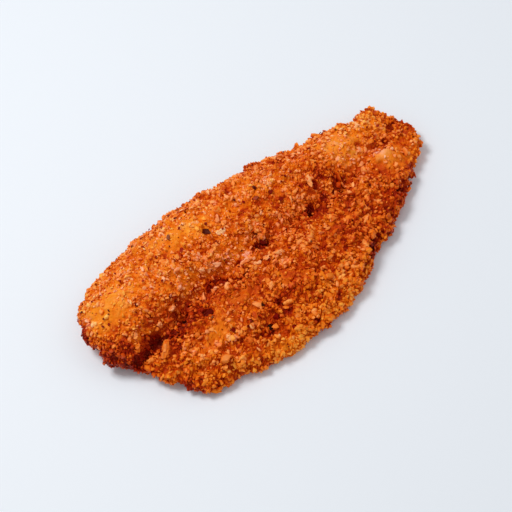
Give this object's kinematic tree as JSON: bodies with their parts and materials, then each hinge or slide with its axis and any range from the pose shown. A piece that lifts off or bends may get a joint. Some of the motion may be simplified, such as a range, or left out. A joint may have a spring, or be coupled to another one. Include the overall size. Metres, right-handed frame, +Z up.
{
  "type": "fried fish fillet",
  "caption": "Whole breaded fish fillet, deep-fried: thick rounded loin, thinner belly flap, a seam along its length and a craggy golden crumb crust, resting flat.",
  "frame": {"origin": "middle of the bounding box, on the flat underside that the fillet rests on", "axes": "+X along the fillet towards its narrow tail end, +Y towards the thick straight loin side, +Z up"},
  "size_m": [0.2066, 0.1052, 0.0297],
  "materials": {
    "crumb_crust": "golden to red-brown fried crumb crust, slightly oily satin"
  },
  "bodies": {
    "root": {"fillet": "crumb_crust"}
  },
  "joints": []
}
